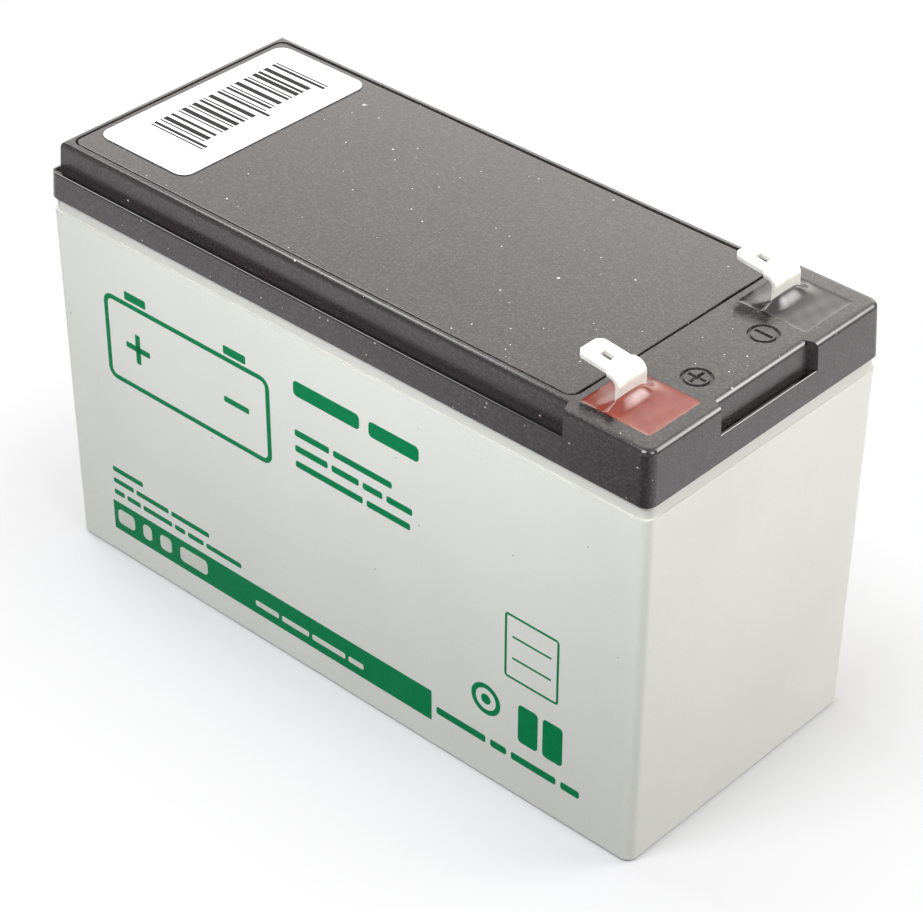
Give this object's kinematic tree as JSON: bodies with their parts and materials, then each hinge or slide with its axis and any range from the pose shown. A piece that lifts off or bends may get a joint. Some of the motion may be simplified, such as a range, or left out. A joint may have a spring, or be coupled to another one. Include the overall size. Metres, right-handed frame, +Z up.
{
  "type": "sealed lead acid battery",
  "caption": "Rectangular sealed lead acid battery block with a pale container, a dark stepped lid, a flush cover plate and push-on tab terminals at one end.",
  "frame": {"origin": "middle of the bottom face, in the plane that the block stands on", "axes": "+X along the length towards the terminal end, +Y from the broad printed side towards the other broad side, +Z up"},
  "size_m": [0.151, 0.0654, 0.0989],
  "materials": {
    "container_abs": "satin moulded, fine grain",
    "lid_abs": "satin moulded, fine grain with dust",
    "sticker_paper": "coated white with dark bars",
    "valve_rubber": "matt",
    "tinned_tab": "tinned, bright",
    "lead": "cast lead, dull",
    "red_resin": "poured resin, glossy",
    "black_resin": "poured resin, glossy",
    "positive_paste": "lead dioxide paste on lead grids, matt",
    "negative_paste": "sponge lead paste on lead grids, matt",
    "glass_mat": "absorbent glass fibre mat"
  },
  "bodies": {
    "root": {"container": "container_abs", "lid": "lid_abs", "cover_plate": "lid_abs", "paper_sticker": "sticker_paper", "valve_cap_1": "valve_rubber", "valve_cap_2": "valve_rubber", "valve_cap_3": "valve_rubber", "valve_cap_4": "valve_rubber", "valve_cap_5": "valve_rubber", "valve_cap_6": "valve_rubber", "positive_tab": "tinned_tab", "negative_tab": "tinned_tab", "positive_post": "lead", "negative_post": "lead", "positive_o_ring": "valve_rubber", "negative_o_ring": "valve_rubber", "positive_epoxy": "red_resin", "negative_epoxy": "black_resin", "positive_plates_1": "positive_paste", "positive_plates_2": "positive_paste", "positive_plates_3": "positive_paste", "positive_plates_4": "positive_paste", "positive_plates_5": "positive_paste", "positive_plates_6": "positive_paste", "negative_plates_1": "negative_paste", "negative_plates_2": "negative_paste", "negative_plates_3": "negative_paste", "negative_plates_4": "negative_paste", "negative_plates_5": "negative_paste", "negative_plates_6": "negative_paste", "separator_1": "glass_mat", "separator_2": "glass_mat", "separator_3": "glass_mat", "separator_4": "glass_mat", "separator_5": "glass_mat", "separator_6": "glass_mat", "cell_link_1": "lead", "cell_link_2": "lead", "cell_link_3": "lead", "cell_link_4": "lead", "cell_link_5": "lead"}
  },
  "joints": []
}
